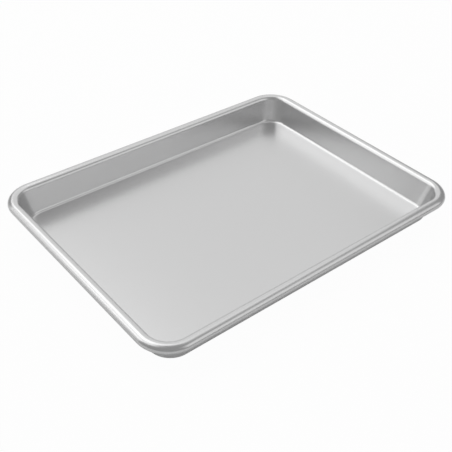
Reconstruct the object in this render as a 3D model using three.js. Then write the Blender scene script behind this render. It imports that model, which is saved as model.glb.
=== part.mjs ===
// Sheet pan: one pressed aluminium sheet whose edge is rolled over a steel rim wire.
// Millimetres, +Z up, long sides along X. The origin is at the middle of the underside.
import * as THREE from "three";

// Driving dimensions
const overallLength = 330; // over the rolled rim, along X
const overallWidth = 248; // over the rolled rim, along Y
const overallHeight = 27.5; // from the underside to the top of the rim
const rimCornerRadius = 28.5; // rim's outer edge at a corner, seen from above
const sheetThickness = 1.2;
const wallLean = THREE.MathUtils.degToRad(11.4); // walls lean out from upright
const floorFilletRadius = 3; // inside, between the floor and the walls
const rollWidth = 10.1; // outside of the rolled rim's section, which is an oval
const rollHeight = 8.4;
const rollSeam = 0.8; // between the roll's free edge and the outside of the wall
const wireClearance = 0.3; // between the wire and the roll over and under it
const wireEndGap = 1; // between the wire's butted ends

// Facets
const cornerSteps = 8; // in a quarter turn seen from above
const filletSteps = 5;
const rollSteps = 20;
const wireSides = 16;

// Sections are drawn in a plane that stands square to the rim:
// x is the inset from the rim's outer edge and y is the height above the underside.
const rollCentre = new THREE.Vector2(rollWidth / 2, overallHeight - rollHeight / 2);

function circle(centre, radius) {
  return { centre, halfWidth: radius, halfHeight: radius };
}

// The roll's outside, or the oval that lies at a depth inside it.
function rollOval(depth) {
  return { centre: rollCentre, halfWidth: rollWidth / 2 - depth, halfHeight: rollHeight / 2 - depth };
}

function arc({ centre, halfWidth, halfHeight }, from, to, steps) {
  const clockwise = to < from;
  return new THREE.EllipseCurve(centre.x, centre.y, halfWidth, halfHeight, from, to, clockwise).getPoints(steps);
}

// How far an oval reaches towards the leaning wall that touches its inner side.
function reach({ halfWidth, halfHeight }) {
  return Math.hypot(halfWidth * Math.cos(wallLean), halfHeight * Math.sin(wallLean));
}

// The oval's own angle where that wall touches it.
function touch({ halfWidth, halfHeight }) {
  return Math.atan2(halfHeight * Math.sin(wallLean), halfWidth * Math.cos(wallLean));
}

// The wall's inner face touches the roll's outside and meets the floor's inner face at its foot.
function filletCentre() {
  const drop = rollCentre.y - sheetThickness;
  const footInset = rollCentre.x + (reach(rollOval(0)) + drop * Math.sin(wallLean)) / Math.cos(wallLean);
  const setback = floorFilletRadius * Math.tan(Math.PI / 4 - wallLean / 2);
  return new THREE.Vector2(footInset + setback, sheetThickness + floorFilletRadius);
}

// From the floor's inner face up the wall, over the roll to its free edge,
// and back along the other face of the sheet to the underside.
function sheetSection() {
  const bend = filletCentre();
  const roll = rollOval(0);
  const bore = rollOval(sheetThickness);
  const down = 1.5 * Math.PI;
  const intoWall = Math.PI + wallLean;
  const rollEnd = touch(roll) + 2 * Math.PI - Math.acos((reach(bore) - rollSeam) / reach(roll));
  return [
    ...arc(circle(bend, floorFilletRadius), down, intoWall, filletSteps),
    ...arc(roll, touch(roll), rollEnd, rollSteps),
    ...arc(bore, rollEnd, touch(bore), rollSteps),
    ...arc(circle(bend, floorFilletRadius + sheetThickness), intoWall, down, filletSteps),
  ];
}

function wireSection() {
  const radius = rollOval(sheetThickness).halfHeight - wireClearance;
  return arc(circle(rollCentre, radius), 0, 2 * Math.PI, wireSides).slice(0, wireSides);
}

// A station is a place on the rim where a section stands: the foot of its plane and the way out.
function station(x, y, angle) {
  return { foot: new THREE.Vector2(x, y), outward: new THREE.Vector2(Math.cos(angle), Math.sin(angle)) };
}

// Below the roll's middle the corners' centres move in with the walls, which so keep one corner radius.
function cornerShift(height) {
  return Math.tan(wallLean) * Math.max(rollCentre.y - height, 0);
}

// Once round the four corners, anticlockwise from the middle of the +Y side.
function cornerStations(shift) {
  const footX = overallLength / 2 - rimCornerRadius - shift;
  const footY = overallWidth / 2 - rimCornerRadius - shift;
  const corners = [[-footX, footY], [-footX, -footY], [footX, -footY], [footX, footY]];
  return corners.flatMap(([x, y], quarter) => {
    const turns = Array.from({ length: cornerSteps + 1 }, (_, step) => quarter + 1 + step / cornerSteps);
    return turns.map((turn) => station(x, y, turn * Math.PI / 2));
  });
}

function wireStations(shift) {
  const footY = overallWidth / 2 - rimCornerRadius - shift;
  const start = station(-wireEndGap / 2, footY, Math.PI / 2);
  const end = station(wireEndGap / 2, footY, Math.PI / 2);
  return [start, ...cornerStations(shift), end];
}

// One row of points per section point, with one point per station.
function sweptPoints(section, stationsAt) {
  return section.flatMap((point) => {
    const shift = cornerShift(point.y);
    return stationsAt(shift).flatMap(({ foot, outward }) => {
      const place = foot.clone().addScaledVector(outward, rimCornerRadius - point.x + shift);
      return [place.x, place.y, point.y];
    });
  });
}

// Two triangles for each cell between neighbouring rows and stations.
function sweptFaces(rows, columns, rowsClose, columnsClose) {
  const faces = [];
  for (let row = 0; row < rows - (rowsClose ? 0 : 1); row += 1) {
    for (let column = 0; column < columns - (columnsClose ? 0 : 1); column += 1) {
      const here = row * columns + column;
      const beside = row * columns + (column + 1) % columns;
      const above = ((row + 1) % rows) * columns + column;
      const across = ((row + 1) % rows) * columns + (column + 1) % columns;
      faces.push(here, above, across, here, across, beside);
    }
  }
  return faces;
}

// Closes a convex ring of points with a fan of triangles.
function fan(ring) {
  return ring.slice(1, -1).flatMap((point, index) => [ring[0], point, ring[index + 2]]);
}

function solid(points, faces) {
  const geometry = new THREE.BufferGeometry();
  geometry.setAttribute("position", new THREE.Float32BufferAttribute(points, 3));
  geometry.setIndex(faces);
  geometry.computeVertexNormals();
  return geometry;
}

function sheetGeometry() {
  const section = sheetSection();
  const columns = cornerStations(0).length;
  const floorRing = Array.from({ length: columns }, (_, column) => column);
  const undersideRing = floorRing.map((column) => (section.length - 1) * columns + column).reverse();
  const faces = [...sweptFaces(section.length, columns, false, true), ...fan(floorRing), ...fan(undersideRing)];
  return solid(sweptPoints(section, cornerStations), faces);
}

function wireGeometry() {
  const section = wireSection();
  const columns = wireStations(0).length;
  const startRing = section.map((_, row) => row * columns).reverse();
  const endRing = section.map((_, row) => row * columns + columns - 1);
  const faces = [...sweptFaces(section.length, columns, true, false), ...fan(startRing), ...fan(endRing)];
  return solid(sweptPoints(section, wireStations), faces);
}

function piece(name, geometry, material) {
  const mesh = new THREE.Mesh(geometry, new THREE.MeshStandardMaterial(material));
  mesh.name = name;
  return mesh;
}

const sheetPan = new THREE.Group();
sheetPan.add(piece("pan_sheet", sheetGeometry(), { color: 0xcfcfce, roughness: 0.35, metalness: 1 }));
sheetPan.add(piece("rim_wire", wireGeometry(), { color: 0x9b9da0, roughness: 0.5, metalness: 1 }));

export default sheetPan;
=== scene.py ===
"""Dresses the sheet pan: a satin aluminium pressing with its rim rolled over a steel wire."""
import logging
import math
from collections.abc import Callable, Mapping, Sequence
from dataclasses import dataclass
from enum import Enum
from typing import Any

import bpy
from mathutils import Matrix, Vector


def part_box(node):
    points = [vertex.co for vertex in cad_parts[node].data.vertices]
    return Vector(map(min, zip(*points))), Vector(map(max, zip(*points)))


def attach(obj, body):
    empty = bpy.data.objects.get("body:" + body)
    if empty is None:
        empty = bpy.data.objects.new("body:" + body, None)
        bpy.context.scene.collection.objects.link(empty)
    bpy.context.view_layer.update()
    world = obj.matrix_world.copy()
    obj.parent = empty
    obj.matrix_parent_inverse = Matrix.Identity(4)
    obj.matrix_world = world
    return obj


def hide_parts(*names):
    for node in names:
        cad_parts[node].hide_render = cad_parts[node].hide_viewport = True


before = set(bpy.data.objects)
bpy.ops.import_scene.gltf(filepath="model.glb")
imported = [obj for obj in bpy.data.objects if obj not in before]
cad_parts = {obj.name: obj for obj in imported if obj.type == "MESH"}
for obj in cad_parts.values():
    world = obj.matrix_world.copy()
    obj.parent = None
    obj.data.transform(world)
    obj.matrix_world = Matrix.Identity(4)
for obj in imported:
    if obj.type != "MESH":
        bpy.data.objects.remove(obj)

LOG = logging.getLogger("sheet_pan")
BODY = "root"
IMAGE_SIDE = 452
Colour = tuple[float, float, float, float]
Point = tuple[float, float]
Station = tuple[Vector, Vector]
Settings = Mapping[str, Any]
Sockets = Mapping[str | int, Any]
WHITE: Colour = (1.0, 1.0, 1.0, 1.0)


class Slot(Enum):
    """The record's material slots."""

    SHEET = "satin_aluminium"
    WIRE = "galvanised_wire"


class Field:
    """A value that changes over a surface: one output socket, with operators that add Math nodes."""

    def __init__(self, sheet: "NodeSheet", socket: bpy.types.NodeSocket) -> None:
        """Keeps where the value comes from.

        Args:
            sheet: The node sheet that the value is on.
            socket: The output socket that carries it.
        """
        self.sheet = sheet
        self.socket = socket

    def __add__(self, other: "Field | float") -> "Field":
        """Adds another value.

        Args:
            other: The value to add.

        Returns:
            The sum.
        """
        return self.sheet.maths("ADD", self, other)

    def __radd__(self, other: float) -> "Field":
        """Adds this value to a number.

        Args:
            other: The number.

        Returns:
            The sum.
        """
        return self.sheet.maths("ADD", other, self)

    def __sub__(self, other: "Field | float") -> "Field":
        """Takes another value away.

        Args:
            other: The value to take away.

        Returns:
            The difference.
        """
        return self.sheet.maths("SUBTRACT", self, other)

    def __rmul__(self, other: float) -> "Field":
        """Multiplies a number by this value.

        Args:
            other: The number.

        Returns:
            The product.
        """
        return self.sheet.maths("MULTIPLY", other, self)

    def largest(self, other: "Field | float") -> "Field":
        """Compares this value with another.

        Args:
            other: The other value.

        Returns:
            The larger of the two.
        """
        return self.sheet.maths("MAXIMUM", self, other)


class NodeSheet:
    """The node tree of one material or world."""

    def __init__(self, tree: bpy.types.NodeTree) -> None:
        """Empties the tree, so that every node in it is made here.

        Args:
            tree: The node tree.
        """
        tree.nodes.clear()
        self.tree = tree

    def node(self, kind: str, settings: Settings, sockets: Sockets) -> bpy.types.Node:
        """Adds one node.

        Args:
            kind: Blender's type name of the node.
            settings: The node's own properties, set first.
            sockets: A value, Field or output socket for each input, by its name or number.

        Returns:
            The new node.
        """
        made = self.tree.nodes.new(kind)
        for name, value in settings.items():
            setattr(made, name, value)
        for name, value in sockets.items():
            if isinstance(value, Field):
                self.tree.links.new(value.socket, made.inputs[name])
            elif isinstance(value, bpy.types.NodeSocket):
                self.tree.links.new(value, made.inputs[name])
            else:
                made.inputs[name].default_value = value
        return made

    def maths(self, operation: str, first: "Field | float", second: "Field | float") -> Field:
        """Adds one Math node.

        Args:
            operation: The Math node's operation.
            first: The left-hand value.
            second: The right-hand value.

        Returns:
            The result.
        """
        made = self.node("ShaderNodeMath", {"operation": operation}, {0: first, 1: second})
        return Field(self, made.outputs[0])

    def value(self, kind: str, settings: Settings, sockets: Sockets, output: str) -> Field:
        """Adds one node and takes one of its outputs as a value.

        Args:
            kind: Blender's type name of the node.
            settings: The node's own properties.
            sockets: A value or link for each input.
            output: The name of the output.

        Returns:
            The output's value.
        """
        return Field(self, self.node(kind, settings, sockets).outputs[output])

    def noise(self, place: Field, spread: Sequence[float], detail: float, roughness: float) -> Field:
        """Adds a noise whose features have a given size along each axis.

        Args:
            place: The position on the object, in metres.
            spread: The size of a feature along X, Y and Z, in metres.
            detail: The number of finer layers.
            roughness: How strong the finer layers are.

        Returns:
            The noise, from 0 to 1.
        """
        scale = tuple(1.0 / size for size in spread)
        scaled = self.value("ShaderNodeVectorMath", {"operation": "MULTIPLY"}, {0: place, 1: scale}, "Vector")
        sockets = {"Vector": scaled, "Scale": 1.0, "Detail": detail, "Roughness": roughness}
        return self.value("ShaderNodeTexNoise", {"noise_dimensions": "3D"}, sockets, "Fac")

    def object_place(self) -> Field:
        """Adds the position on the object.

        Returns:
            The position, in metres.
        """
        return self.value("ShaderNodeTexCoord", {}, {}, "Object")

    def mixed_colour(self, factor: Field, first: Colour, second: Colour) -> bpy.types.NodeSocket:
        """Mixes two colours.

        Args:
            factor: The share of the second colour.
            first: The colour where the factor is 0.
            second: The colour where the factor is 1.

        Returns:
            The socket that carries the mixed colour.
        """
        made = self.node("ShaderNodeMix", {"data_type": "RGBA"}, {"Factor": factor})
        made.inputs[6].default_value = first
        made.inputs[7].default_value = second
        return made.outputs[2]


def new_material(name: str) -> tuple[bpy.types.Material, NodeSheet]:
    """Makes an empty node material.

    Args:
        name: The material's name.

    Returns:
        The material and its node sheet.
    """
    material = bpy.data.materials.new(name)
    material.use_nodes = True
    return material, NodeSheet(material.node_tree)


@dataclass(frozen=True)
class SatinAluminium:
    """Satin pressed aluminium: a fine even grain, and faint lines along the rolling direction."""

    pale: Colour = (0.828, 0.828, 0.828, 1.0)
    dark: Colour = (0.815, 0.815, 0.818, 1.0)
    roughness: float = 0.27
    grain_size: float = 0.0005
    cloud_size: float = 0.035
    roll_line: tuple[float, float, float] = (0.08, 0.0006, 0.0006)

    def material(self) -> bpy.types.Material:
        """Builds the material.

        Returns:
            The material.
        """
        material, sheet = new_material("satin_aluminium")
        place = sheet.object_place()
        grain = sheet.noise(place, (self.grain_size,) * 3, 2.0, 0.6)
        cloud = sheet.noise(place, (self.cloud_size,) * 3, 3.0, 0.5)
        lines = sheet.noise(place, self.roll_line, 3.0, 0.6)
        tint = 0.5 * cloud + 0.5 * lines
        colour = sheet.mixed_colour(tint, self.pale, self.dark)
        roughness = self.roughness + 0.01 * (cloud - 0.5) + 0.01 * (grain - 0.5) + 0.005 * (lines - 0.5)
        bump = sheet.node("ShaderNodeBump", {}, {"Height": grain, "Strength": 0.05, "Distance": 0.0001})
        surface = sheet.node("ShaderNodeBsdfPrincipled", {}, {
            "Base Color": colour, "Metallic": 1.0, "Roughness": roughness, "Normal": bump.outputs["Normal"]})
        sheet.node("ShaderNodeOutputMaterial", {}, {"Surface": surface.outputs["BSDF"]})
        return material


@dataclass(frozen=True)
class GalvanisedSteel:
    """Dull grey zinc on steel wire, with a soft crystal mottle."""

    pale: Colour = (0.62, 0.63, 0.64, 1.0)
    dark: Colour = (0.48, 0.49, 0.50, 1.0)
    roughness: float = 0.45
    crystal_size: float = 0.003

    def material(self) -> bpy.types.Material:
        """Builds the material.

        Returns:
            The material.
        """
        material, sheet = new_material("galvanised_steel")
        place = sheet.object_place()
        mottle = sheet.noise(place, (self.crystal_size,) * 3, 3.0, 0.55)
        surface = sheet.node("ShaderNodeBsdfPrincipled", {}, {
            "Base Color": sheet.mixed_colour(mottle, self.pale, self.dark),
            "Metallic": 1.0,
            "Roughness": self.roughness + 0.2 * (mottle - 0.5)})
        sheet.node("ShaderNodeOutputMaterial", {}, {"Surface": surface.outputs["BSDF"]})
        return material


@dataclass(frozen=True)
class PaleSweep:
    """The studio floor: white to the camera, a little so in reflections, and it keeps the pan's shadow."""

    colour: Colour = (0.9, 0.9, 0.9, 1.0)
    white_to_camera: float = 0.97
    white_in_metal: float = 0.06

    def material(self) -> bpy.types.Material:
        """Builds the material.

        Returns:
            The material.
        """
        material, sheet = new_material("pale_sweep")
        path = sheet.node("ShaderNodeLightPath", {}, {})
        rays = "Is Camera Ray", "Is Glossy Ray", "Is Transmission Ray"
        camera, glossy, through = (Field(sheet, path.outputs[ray]) for ray in rays)
        whiteness = self.white_to_camera * camera + self.white_in_metal * glossy.largest(through)
        lit = sheet.node("ShaderNodeBsdfDiffuse", {}, {"Color": self.colour})
        white = sheet.node("ShaderNodeEmission", {}, {"Color": WHITE, "Strength": 1.0})
        surface = sheet.node("ShaderNodeMixShader", {}, {
            0: whiteness, 1: lit.outputs["BSDF"], 2: white.outputs["Emission"]})
        sheet.node("ShaderNodeOutputMaterial", {}, {"Surface": surface.outputs["Shader"]})
        return material


@dataclass(frozen=True)
class Oval:
    """An oval in the plane of a section, drawn by its own angle from the inner side over the top."""

    centre: Point
    half_width: float
    half_height: float

    def reach(self, lean: float) -> float:
        """Measures from the centre to a leaning wall that touches the oval's inner side.

        Args:
            lean: How far the wall leans from upright, in radians.

        Returns:
            The distance, square to the wall.
        """
        return math.hypot(self.half_width * math.cos(lean), self.half_height * math.sin(lean))

    def touch(self, lean: float) -> float:
        """Finds where such a wall touches the oval.

        Args:
            lean: How far the wall leans from upright, in radians.

        Returns:
            The oval's own angle at that place, in radians.
        """
        return math.atan2(self.half_height * math.sin(lean), self.half_width * math.cos(lean))

    def arc(self, start: float, end: float, steps: int) -> list[Point]:
        """Points along a stretch of the oval.

        Args:
            start: The first point's angle, in radians.
            end: The last point's angle, in radians.
            steps: The number of steps between them.

        Returns:
            The points, both ends included.
        """
        inset, height = self.centre
        angles = (start + (end - start) * step / steps for step in range(steps + 1))
        return [(inset + self.half_width * math.cos(angle), height + self.half_height * math.sin(angle))
                for angle in angles]


def straight(start: Point, end: Point, steps: int) -> list[Point]:
    """Points along a line, between its ends but without them.

    Args:
        start: One end.
        end: The other end.
        steps: The number of steps from end to end.

    Returns:
        The points.
    """
    shares = (step / steps for step in range(1, steps))
    run, rise = end[0] - start[0], end[1] - start[1]
    return [(start[0] + run * share, start[1] + rise * share) for share in shares]


@dataclass
class Rim:
    """The pan's outer edge seen from above, and the oval roll along it. Both pieces are swept round it."""

    length: float
    width: float
    height: float
    corner_radius: float = 0.0285
    roll_width: float = 0.0101
    roll_height: float = 0.0084
    sheet_thickness: float = 0.0012
    wall_lean: float = math.radians(11.4)
    corner_steps: int = 28
    long_steps: int = 30
    short_steps: int = 22

    def roll(self, depth: float) -> Oval:
        """Draws the roll's section.

        Args:
            depth: How far inside the roll's outside the oval lies.

        Returns:
            The oval.
        """
        centre = self.roll_width / 2, self.height - self.roll_height / 2
        return Oval(centre, self.roll_width / 2 - depth, self.roll_height / 2 - depth)

    def corner_shift(self, height: float) -> float:
        """Finds how far a corner's centre moves in with the walls, which keep one corner radius.

        Args:
            height: The height above the ground.

        Returns:
            The shift.
        """
        return math.tan(self.wall_lean) * max(self.roll(0.0).centre[1] - height, 0.0)

    def stations(self, shift: float) -> list[Station]:
        """Places once round the rim, anticlockwise from the middle of the +Y side.

        Args:
            shift: How far the corners' centres are moved in.

        Returns:
            Each station's foot, and the way out from it.
        """
        foot_x = self.length / 2 - self.corner_radius - shift
        foot_y = self.width / 2 - self.corner_radius - shift
        corners = [(-foot_x, foot_y), (-foot_x, -foot_y), (foot_x, -foot_y), (foot_x, foot_y)]
        half_steps = self.long_steps // 2
        side_steps = [half_steps, self.short_steps, self.long_steps, self.short_steps]
        middle = Vector((0.0, foot_y))
        places = []
        last = middle
        for quarter, corner in enumerate(corners):
            start = math.radians(90 * (quarter + 1))
            foot = Vector(corner)
            outward = Vector((math.cos(start), math.sin(start)))
            for step in range(side_steps[quarter]):
                places.append((last.lerp(foot, step / side_steps[quarter]), outward))
            for step in range(self.corner_steps):
                angle = start + math.radians(90) * step / self.corner_steps
                places.append((foot, Vector((math.cos(angle), math.sin(angle)))))
            last = foot
        for step in range(half_steps):
            places.append((last.lerp(middle, step / half_steps), Vector((0.0, 1.0))))
        return places

    def swept(self, section: Sequence[Point], stations: Callable[[float], list[Station]]) -> list[Vector]:
        """Sweeps a section along the rim.

        Args:
            section: Points as inset from the outer edge, and height.
            stations: Gives the places where the section stands, for a shift of the corners' centres.

        Returns:
            One row of points for each section point, with one point for each station.
        """
        points = []
        for inset, height in section:
            shift = self.corner_shift(height)
            for foot, outward in stations(shift):
                place = foot + outward * (self.corner_radius - inset + shift)
                points.append(Vector((place.x, place.y, height)))
        return points


def grid_faces(rows: int, columns: int, rows_close: bool, columns_close: bool) -> list[tuple[int, ...]]:
    """Quads between neighbouring rows and columns of points.

    Args:
        rows: The number of rows.
        columns: The number of points in a row.
        rows_close: Whether the last row meets the first.
        columns_close: Whether the last column meets the first.

    Returns:
        The faces.
    """
    faces = []
    for row in range(rows if rows_close else rows - 1):
        above = (row + 1) % rows
        for column in range(columns if columns_close else columns - 1):
            beside = (column + 1) % columns
            corners = (row, column), (above, column), (above, beside), (row, beside)
            faces.append(tuple(r * columns + c for r, c in corners))
    return faces


def new_piece(name: str, points: Sequence[Vector], faces: Sequence[tuple[int, ...]]) -> bpy.types.Object:
    """Makes a smooth mesh object.

    Args:
        name: The piece's name.
        points: Its vertices, in metres.
        faces: Its faces, anticlockwise from outside.

    Returns:
        The object, linked to the scene.
    """
    mesh = bpy.data.meshes.new(name)
    mesh.from_pydata([tuple(point) for point in points], [], faces)
    mesh.validate()
    mesh.shade_smooth()
    piece = bpy.data.objects.new(name, mesh)
    bpy.context.scene.collection.objects.link(piece)
    return piece


@dataclass
class Pressing:
    """The one aluminium sheet: floor, leaning walls, and the rim rolled outwards."""

    rim: Rim
    finish: SatinAluminium
    fillet_radius: float = 0.003
    roll_seam: float = 0.0008
    edge_round: float = 0.0003
    fillet_steps: int = 14
    wall_steps: int = 8
    roll_steps: int = 64
    edge_steps: int = 4
    floor_margins: tuple[float, ...] = (0.012, 0.004, 0.001)

    @property
    def bend_centre(self) -> Point:
        """The centre of the bend between floor and wall.

        Returns:
            Its inset and height.
        """
        rim = self.rim
        roll = rim.roll(0.0)
        drop = roll.centre[1] - rim.sheet_thickness
        lean = rim.wall_lean
        foot = roll.centre[0] + (roll.reach(lean) + drop * math.sin(lean)) / math.cos(lean)
        setback = self.fillet_radius * math.tan(math.pi / 4 - lean / 2)
        return foot + setback, rim.sheet_thickness + self.fillet_radius

    def free_edge(self, outside: Point, bore: Point) -> list[Point]:
        """The rounded free edge of the roll.

        Args:
            outside: The last point of the roll's outside.
            bore: The point across the sheet from it.

        Returns:
            The points of the edge between them.
        """
        start = Vector(outside)
        end = Vector(bore)
        across = (end - start).normalized()
        forward = Vector((across.y, -across.x))
        inwards = across * self.edge_round
        points = []
        for centre, first, second in ((start + inwards, -across, forward), (end - inwards, forward, across)):
            for step in range(self.edge_steps + 1):
                turn = math.pi / 2 * step / self.edge_steps
                way = first * math.cos(turn) + second * math.sin(turn)
                points.append(tuple(centre + way * self.edge_round))
        return points[1:-1]

    def section(self) -> list[Point]:
        """Draws the sheet's section: along its upper face to the free edge, and back along its lower face.

        Returns:
            Its points, as inset and height.
        """
        rim = self.rim
        bend = self.bend_centre
        down = 1.5 * math.pi
        into_wall = math.pi + rim.wall_lean
        upper_radius = self.fillet_radius
        upper_bend = Oval(bend, upper_radius, upper_radius).arc(down, into_wall, self.fillet_steps)
        lower_radius = upper_radius + rim.sheet_thickness
        lower_bend = Oval(bend, lower_radius, lower_radius).arc(into_wall, down, self.fillet_steps)
        roll = rim.roll(0.0)
        bore = rim.roll(rim.sheet_thickness)
        gap = bore.reach(rim.wall_lean) - self.roll_seam
        seam_turn = math.acos(gap / roll.reach(rim.wall_lean))
        roll_turn = 2 * math.pi - seam_turn - self.edge_round / bore.half_height
        start = roll.touch(rim.wall_lean)
        bore_start = bore.touch(rim.wall_lean)
        over_roll = roll.arc(start, start + roll_turn, self.roll_steps)
        through_bore = bore.arc(start + roll_turn, bore_start, self.roll_steps)
        upper_floor = [(bend[0] + margin, rim.sheet_thickness) for margin in self.floor_margins]
        lower_floor = [(bend[0] + margin, 0.0) for margin in reversed(self.floor_margins)]
        upper_wall = straight(upper_bend[-1], over_roll[0], self.wall_steps)
        lower_wall = straight(through_bore[-1], lower_bend[0], self.wall_steps)
        edge = self.free_edge(over_roll[-1], through_bore[0])
        return [
            *upper_floor, *upper_bend, *upper_wall, *over_roll, *edge,
            *through_bore, *lower_wall, *lower_bend, *lower_floor,
        ]

    def build(self) -> bpy.types.Object:
        """Builds and dresses the pressing.

        Returns:
            The piece that stands for the CAD node.
        """
        section = self.section()
        columns = len(self.rim.stations(0.0))
        floor = tuple(range(columns))
        underside = tuple(reversed(range((len(section) - 1) * columns, len(section) * columns)))
        faces = grid_faces(len(section), columns, False, True) + [floor, underside]
        piece = new_piece("aluminium_pressing", self.rim.swept(section, self.rim.stations), faces)
        piece.data.materials.append(self.finish.material())
        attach(piece, BODY)
        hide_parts("pan_sheet")
        return piece


@dataclass
class RimWire:
    """The steel wire in the roll: a ring with butted ends at the middle of the +Y side."""

    rim: Rim
    finish: GalvanisedSteel
    clearance: float = 0.0003
    end_gap: float = 0.001
    sides: int = 40

    def stations(self, shift: float) -> list[Station]:
        """The rim's stations, with the wire's two ends at its joint.

        Args:
            shift: How far the corners' centres are moved in.

        Returns:
            Each station's foot, and the way out from it.
        """
        (middle, out), *others = self.rim.stations(shift)
        half_gap = Vector((self.end_gap / 2, 0.0))
        return [(middle - half_gap, out), *others, (middle + half_gap, out)]

    def build(self) -> bpy.types.Object:
        """Builds and dresses the wire.

        Returns:
            The piece that stands for the CAD node.
        """
        bore = self.rim.roll(self.rim.sheet_thickness)
        radius = bore.half_height - self.clearance
        section = Oval(bore.centre, radius, radius).arc(0.0, 2 * math.pi, self.sides)[:-1]
        columns = len(self.stations(0.0))
        start = tuple(row * columns for row in reversed(range(self.sides)))
        end = tuple(row * columns + columns - 1 for row in range(self.sides))
        faces = grid_faces(self.sides, columns, True, False) + [start, end]
        piece = new_piece("steel_rim_wire", self.rim.swept(section, self.stations), faces)
        piece.data.set_sharp_from_angle(angle=math.radians(40))
        piece.data.materials.append(self.finish.material())
        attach(piece, BODY)
        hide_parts("rim_wire")
        return piece


@dataclass(frozen=True)
class Softbox:
    """A rectangular studio lamp that looks at the pan."""

    name: str
    azimuth: float
    elevation: float
    distance: float
    width: float
    height: float
    brightness: float

    def build(self, aim: Vector) -> bpy.types.Object:
        """Makes the lamp.

        Args:
            aim: The point that the lamp looks at.

        Returns:
            The lamp's object.
        """
        light = bpy.data.lights.new(self.name, "AREA")
        light.shape = "RECTANGLE"
        light.size = self.width
        light.size_y = self.height
        light.energy = self.brightness * math.pi * self.width * self.height
        lamp = bpy.data.objects.new(self.name, light)
        back = direction(self.azimuth, self.elevation)
        lamp.location = aim + back * self.distance
        lamp.rotation_euler = back.to_track_quat("Z", "Y").to_euler()
        lamp.visible_camera = False
        bpy.context.scene.collection.objects.link(lamp)
        return lamp


def direction(azimuth: float, elevation: float) -> Vector:
    """The way from the object to a place round it.

    Args:
        azimuth: 0 is in front, at -Y, and 90 is at +X, in degrees.
        elevation: Above the horizon, in degrees.

    Returns:
        A unit vector.
    """
    turn = math.radians(azimuth)
    rise = math.radians(elevation)
    return Vector((math.sin(turn) * math.cos(rise), -math.cos(turn) * math.cos(rise), math.sin(rise)))


@dataclass(frozen=True)
class Viewpoint:
    """The camera: where it stands, how it is rolled, and its focal length in pixels of the square picture."""

    azimuth: float = -40.3946
    elevation: float = 37.9154
    roll: float = 1.9273
    distance: float = 0.69085
    aside: float = -0.003454
    upwards: float = -0.007948
    focal_pixels: float = 757.828
    sensor: float = 36.0

    def build(self) -> bpy.types.Object:
        """Makes the camera and gives it to the scene.

        Returns:
            The camera's object.
        """
        back = direction(self.azimuth, self.elevation)
        level = Vector((math.cos(math.radians(self.azimuth)), math.sin(math.radians(self.azimuth)), 0.0))
        upright = back.cross(level)
        turn = math.radians(self.roll)
        right = level * math.cos(turn) + upright * math.sin(turn)
        up = upright * math.cos(turn) - level * math.sin(turn)
        lens = bpy.data.cameras.new("viewpoint")
        lens.sensor_width = self.sensor
        lens.lens = self.sensor * self.focal_pixels / IMAGE_SIDE
        camera = bpy.data.objects.new("viewpoint", lens)
        place = back * self.distance + right * self.aside + up * self.upwards
        camera.matrix_world = Matrix.Translation(place) @ Matrix((right, up, back)).transposed().to_4x4()
        bpy.context.scene.collection.objects.link(camera)
        bpy.context.scene.camera = camera
        return camera


@dataclass
class Studio:
    """The pale floor, the soft lamps and the camera."""

    floor_finish: PaleSweep
    lamps: tuple[Softbox, ...]
    viewpoint: Viewpoint
    floor_side: float = 8.0
    surround: float = 0.30

    def build(self) -> None:
        """Makes everything round the pan."""
        half = self.floor_side / 2
        corners = (-half, -half), (half, -half), (half, half), (-half, half)
        floor = new_piece("studio_floor", [Vector((x, y, 0.0)) for x, y in corners], [(0, 1, 2, 3)])
        floor.data.materials.append(self.floor_finish.material())
        for lamp in self.lamps:
            lamp.build(Vector())
        self.build_surround()
        self.viewpoint.build()
        bpy.context.scene.view_settings.view_transform = "Standard"

    def build_surround(self) -> None:
        """Makes the world: an even, dim light from all sides."""
        world = bpy.data.worlds.new("studio_surround")
        world.use_nodes = True
        bpy.context.scene.world = world
        sheet = NodeSheet(world.node_tree)
        glow = sheet.node("ShaderNodeBackground", {}, {"Color": WHITE, "Strength": self.surround})
        sheet.node("ShaderNodeOutputWorld", {}, {"Surface": glow.outputs["Background"]})


LAMPS = (
    Softbox("left_overhead_box", -150.0, 55.0, 1.5, 1.60, 1.20, 0.72),
    Softbox("back_box", 150.0, 46.0, 1.5, 1.70, 2.00, 0.42),
    Softbox("front_box", 33.0, 33.0, 1.5, 1.45, 0.95, 0.47),
    Softbox("left_box", -134.0, 22.0, 1.5, 0.90, 1.00, 0.51),
    Softbox("low_back_box", 145.0, 9.0, 1.5, 2.00, 0.45, 0.20),
    Softbox("top_box", 90.0, 62.0, 1.5, 1.20, 1.00, 0.10),
)


def main() -> None:
    """Builds the pan and its studio, and reports each piece."""
    logging.basicConfig(level=logging.INFO, format="%(name)s: %(message)s")
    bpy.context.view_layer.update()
    low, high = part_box("pan_sheet")
    rim = Rim(high.x - low.x, high.y - low.y, high.z - low.z)
    for assembly in (Pressing(rim, SatinAluminium()), RimWire(rim, GalvanisedSteel())):
        piece = assembly.build()
        LOG.info("%s: %d faces", piece.name, len(piece.data.polygons))
    Studio(PaleSweep(), LAMPS, Viewpoint()).build()


if __name__ == "__main__":
    main()
